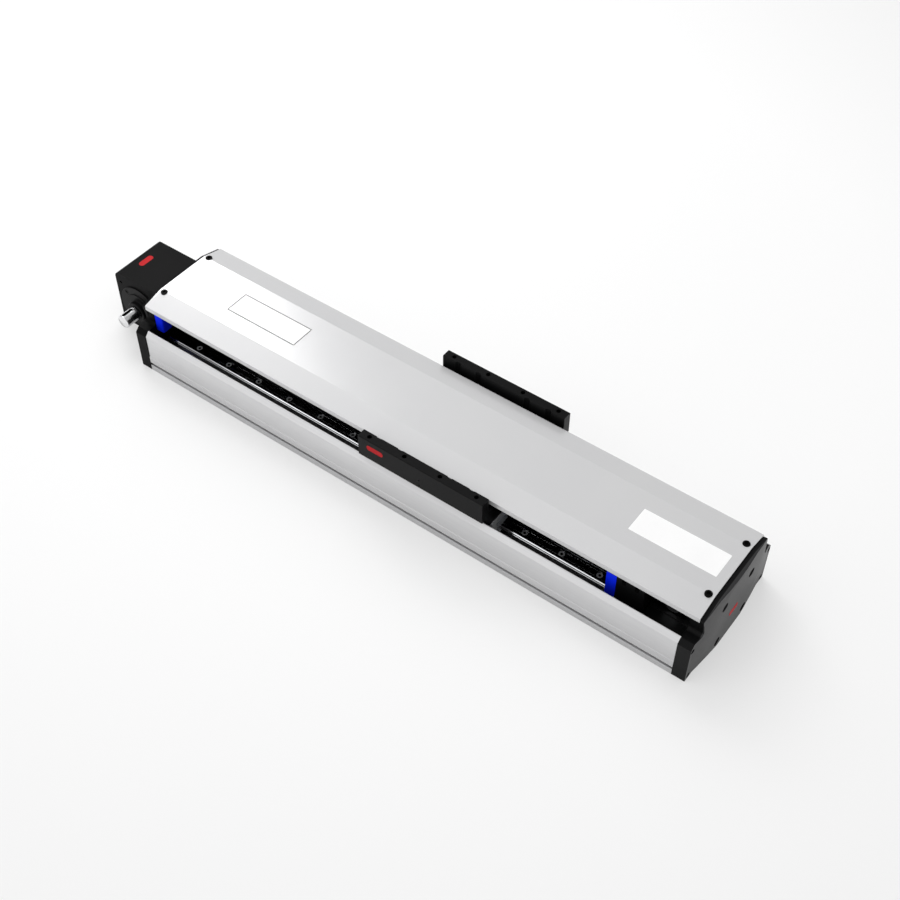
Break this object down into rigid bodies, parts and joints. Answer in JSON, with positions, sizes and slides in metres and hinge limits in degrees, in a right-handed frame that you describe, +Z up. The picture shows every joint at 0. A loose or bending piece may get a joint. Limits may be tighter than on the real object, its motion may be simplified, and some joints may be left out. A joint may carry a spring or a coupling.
{
  "type": "belt driven linear axis",
  "caption": "Low wide linear axis: toothed belt in an aluminium extrusion moves a table on two guide rails under a folded cover, with two bars outside it and a drive shaft at one end.",
  "frame": {"origin": "middle of the base extrusion's underside", "axes": "+X along the axis from the drive housing to the idler cap, +Z up out of the base, the drive shaft points to -Y"},
  "size_m": [1.0722, 0.21, 0.1205],
  "materials": {
    "anodised_extrusion": "fine matt natural anodising",
    "cover_sheet": "satin natural anodising",
    "black_anodised": "satin black anodising",
    "bright_screw": "zinc plated",
    "black_screw": "black oxide",
    "ground_steel": "ground",
    "seal_plastic": "matt grey",
    "shaft_steel": "ground and polished",
    "bearing_steel": "ground",
    "pulley_aluminium": "turned",
    "belt_rubber": "matt",
    "clamp_aluminium": "milled",
    "blue_bumper": "smooth blue elastomer"
  },
  "bodies": {
    "frame": {"base_extrusion": "anodised_extrusion", "top_cover": "cover_sheet", "drive_end_cap": "black_anodised", "idler_end_cap": "black_anodised", "drive_housing": "black_anodised", "bearing_cover_near": "black_anodised", "bearing_cover_far": "black_anodised", "drive_bearing_near": "bearing_steel", "drive_bearing_far": "bearing_steel", "timing_belt": "belt_rubber", "idler_bracket": "black_anodised", "idler_shaft": "shaft_steel", "rail_near": "ground_steel", "rail_far": "ground_steel", "rail_screws_near": "bright_screw", "rail_screws_far": "bright_screw", "bumper_drive_near": "blue_bumper", "bumper_drive_far": "blue_bumper", "bumper_idler_near": "blue_bumper", "bumper_idler_far": "blue_bumper", "cover_screws": "black_screw", "drive_cap_screws": "black_screw", "idler_cap_screws": "black_screw", "tension_screws": "black_screw", "bracket_screws": "black_screw", "housing_screws": "black_screw", "bearing_cover_screws": "black_screw"},
    "table": {"block_near_drive": "ground_steel", "block_near_idler": "ground_steel", "block_far_drive": "ground_steel", "block_far_idler": "ground_steel", "block_end_caps": "seal_plastic", "table_plate": "black_anodised", "bar_near": "black_anodised", "bar_far": "black_anodised", "bar_screws": "black_screw", "block_screws": "black_screw", "belt_clamp_drive": "clamp_aluminium", "belt_clamp_idler": "clamp_aluminium", "clamp_screws": "black_screw"},
    "drive_rotor": {"drive_shaft": "shaft_steel", "drive_pulley": "pulley_aluminium", "pulley_key": "shaft_steel"},
    "idler_rotor": {"idler_pulley": "pulley_aluminium", "idler_bearings": "bearing_steel"}
  },
  "joints": [
    {"name": "table_slide", "type": "slide", "parent": "frame", "child": "table", "axis": [1, 0, 0], "range_m": [-0.4, 0.176], "deforming": ["timing_belt"]},
    {"name": "drive_spin", "type": "hinge", "parent": "frame", "child": "drive_rotor", "pos_m": [-0.536, 0, 0.045], "axis": [0, 1, 0], "continuous": true},
    {"name": "idler_spin", "type": "hinge", "parent": "frame", "child": "idler_rotor", "pos_m": [0.424, 0, 0.045], "axis": [0, 1, 0], "continuous": true}
  ],
  "couplings": [
    {"joint": "drive_spin", "follows": "table_slide", "rad_per_m": 39.27},
    {"joint": "idler_spin", "follows": "table_slide", "rad_per_m": 39.27}
  ]
}
